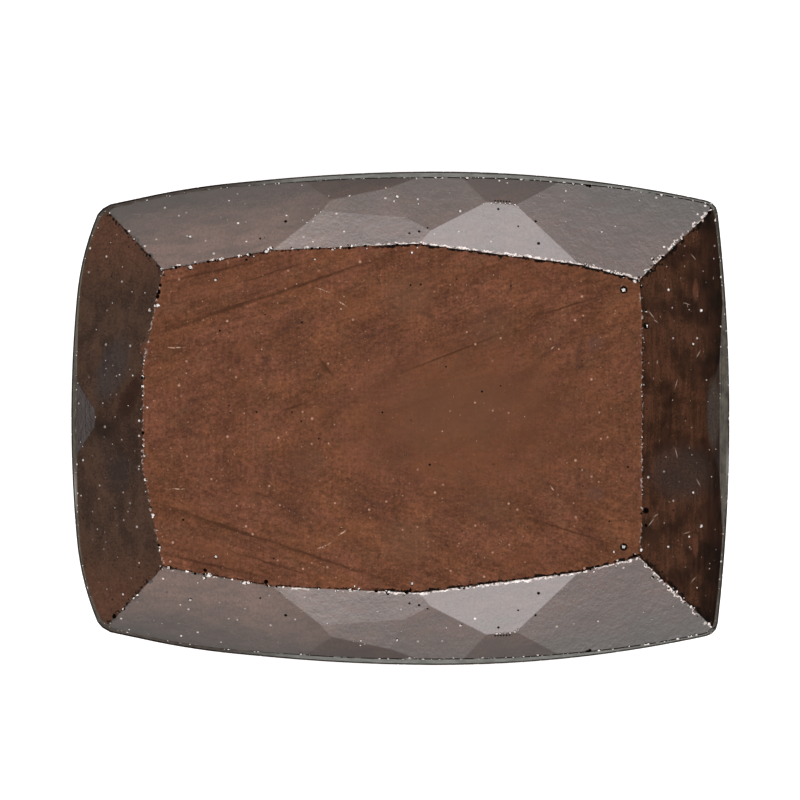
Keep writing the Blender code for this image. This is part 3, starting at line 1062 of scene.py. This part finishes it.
def broken_sapphire():
    """The walls of chips and pits: frosty with a painted glint where they lie level, and painted
    black as shade where they are steep and face up.
    """
    material, tree, shader = new_surface("broken sapphire")
    place = place_in_mm(tree)
    near = folded(tree, place)
    lots = add(tree, "TexVoronoi", Vector=place, Scale=14.0).outputs["Color"]
    chance = add(tree, "SeparateColor", Color=lots).outputs
    frost_and_glint = blend(tree, between(tree, chance["Red"], 0.0, 0.4), *FROST_AND_GLINT)
    outlines = (TABLE_LEFT, TABLE_SIDE, TABLE_RIGHT)
    rim = strongest(tree, (outside(tree, near, points) for points in outlines))
    frost_and_glint = blend(tree, between(tree, rim, -0.42, -0.34, 1.0, 0.0), frost_and_glint, FROST_AND_GLINT_IN_TABLE)
    ridges = (beside(tree, near, *ridge) for ridge in (LEFT_RIDGE, RIGHT_RIDGE))
    ridges = strongest(tree, (strip(tree, away, -0.07, 0.07) for away in ridges))
    length = either_way(tree, coordinate(tree, place, "X"))
    at_ridge = both(tree, ridges, between(tree, length, 2.88, 2.94))
    at_table = strip(tree, rim, -0.10, 0.10)
    # Painted shade: some chips at the ridges and the table's rim, and the listed dark pits, get no
    # glint.
    shaded_chips = strongest(tree, (
        both(tree, at_ridge, maths(tree, "LESS_THAN", chance["Green"], 0.6)),
        both(tree, at_table, maths(tree, "LESS_THAN", chance["Green"], 0.4)),
        marked(tree, place, DARK_PITS, DARK_WALLS_REACH),
    ))
    # A painted glint on level floors; steep walls on the crown painted black as shade.
    bright = both(tree, between(tree, facing(tree)["Z"], 0.72, 0.88), lacking(tree, shaded_chips))
    walls = blend(tree, faces_up(tree), BACK_BREAK, PAINTED_SHADE)
    connect(tree, shader.inputs["Base Color"], blend(tree, bright, walls, frost_and_glint))
    shader.inputs["Roughness"].default_value = BROKEN_ROUGHNESS
    shader.inputs["IOR"].default_value = IOR
    shader.inputs["Specular IOR Level"].default_value = 0.0
    return material


def sort_faces(stone):
    """Gives the girdle's walls, and the steepest facets above them, a surface of their own."""
    for face in stone.data.polygons:
        face.material_index = GROUND if -WALL < face.normal.z < STEEP else POLISHED


# The scene round the stone.


def floor():
    deselect()
    bpy.ops.mesh.primitive_plane_add(size=FLOOR_SIZE)
    plane = bpy.context.object
    plane.name = "floor"
    material, tree, shader = new_surface("white floor")
    shader.inputs["Base Color"].default_value = FLOOR_COLOUR
    shader.inputs["Roughness"].default_value = FLOOR_ROUGHNESS
    shader.inputs["Specular IOR Level"].default_value = 0.0
    shader.inputs["Emission Color"].default_value = (*WHITE, 1.0)
    seen = add(tree, "LightPath").outputs["Is Camera Ray"]
    connect(tree, shader.inputs["Emission Strength"], both(tree, seen, FLOOR_GLOW))
    plane.data.materials.append(material)


def curve_over(tree, height, stops):
    """The light at a height above the horizon in degrees, as a ramp between these stops."""
    share = maths(tree, "DIVIDE", height, 90.0)
    ramp = add(tree, "ValToRGB", Fac=share)
    elements = ramp.color_ramp.elements
    while len(elements) < len(stops):
        elements.new(0.5)
    for element, (degrees, light) in zip(elements, stops):
        element.position = degrees / 90
        element.color = (light / BRIGHTEST,) * 3 + (1.0,)
    return maths(tree, "MULTIPLY", ramp.outputs["Color"], BRIGHTEST)


def studio_light():
    """Soft boxes along both long sides, dim ends, a weak ring of light higher up, none overhead."""
    world = bpy.data.worlds.new("studio")
    bpy.context.scene.world = world
    world.use_nodes = True
    tree = world.node_tree
    way = add(tree, "TexCoord").outputs["Generated"]
    parts = add(tree, "SeparateXYZ", Vector=way).outputs
    height = maths(tree, "MULTIPLY", maths(tree, "ARCSINE", parts["Z"]), math.degrees(1))
    level = maths(tree, "SQRT", lacking(tree, both(tree, parts["Z"], parts["Z"])))
    sideways = maths(tree, "DIVIDE", either_way(tree, parts["Y"]), level)
    side = curve_over(tree, height, SIDE_LIGHT)
    end = curve_over(tree, height, END_LIGHT)
    corner = curve_over(tree, height, CORNER_LIGHT)
    share = between(tree, sideways, 0.80, 0.93)
    at_corner = both(tree, between(tree, sideways, 0.30, 0.50), lacking(tree, share))
    light = maths(tree, "ADD", both(tree, side, share), both(tree, end, lacking(tree, share)))
    light = maths(tree, "ADD", light, both(tree, corner, at_corner))
    tint = blend(tree, between(tree, height, 24.0, 31.0), WARM, PINK)
    seen = add(tree, "LightPath").outputs["Is Camera Ray"]
    shown = blend(tree, seen, scaled(tree, tint, light), WHITE)
    connect(tree, tree.nodes["Background"].inputs["Color"], shown)


def camera():
    """Straight above the stone, far off with a long lens."""
    data = bpy.data.cameras.new("camera")
    data.lens = LENS
    data.sensor_width = SENSOR
    rig = bpy.data.objects.new("camera", data)
    bpy.context.scene.collection.objects.link(rig)
    width = FRAME_PIXELS / PIXELS_PER_MM * MM
    away = width * LENS / SENSOR
    rig.location = (*(VIEW_MIDDLE * MM), solid_box[1].z + away)
    data.clip_start = away / CLIP_SPAN
    data.clip_end = away * CLIP_SPAN
    bpy.context.scene.camera = rig


def to_metres(stone):
    stone.scale = (MM,) * 3
    choose(stone)
    bpy.ops.object.transform_apply(location=True, rotation=True, scale=True)


def cut_sapphire():
    planes = facet_planes(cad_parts[NODE])
    stone = sharp_stone(planes)
    edges = edge_pairs(stone)
    materials = [polished_sapphire(), ground_sapphire(), broken_sapphire()]
    for material in materials:
        stone.data.materials.append(material)
    round_edges(stone, [edge for edge in edges if wears_round(*edge)])
    sort_faces(stone)
    chance = random.Random(CHIP_SEED)
    shapes = lumps(materials)
    for layer in layers(chips_on_edges(edges, chance) + pits_on_facets(planes, chance)):
        break_out(stone, shapes, layer, chance)
    for shape in shapes:
        bpy.data.objects.remove(shape)
    to_metres(stone)
    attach(stone, "root")
    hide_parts(NODE)


cut_sapphire()
floor()
studio_light()
camera()
bpy.context.scene.view_settings.view_transform = "Standard"
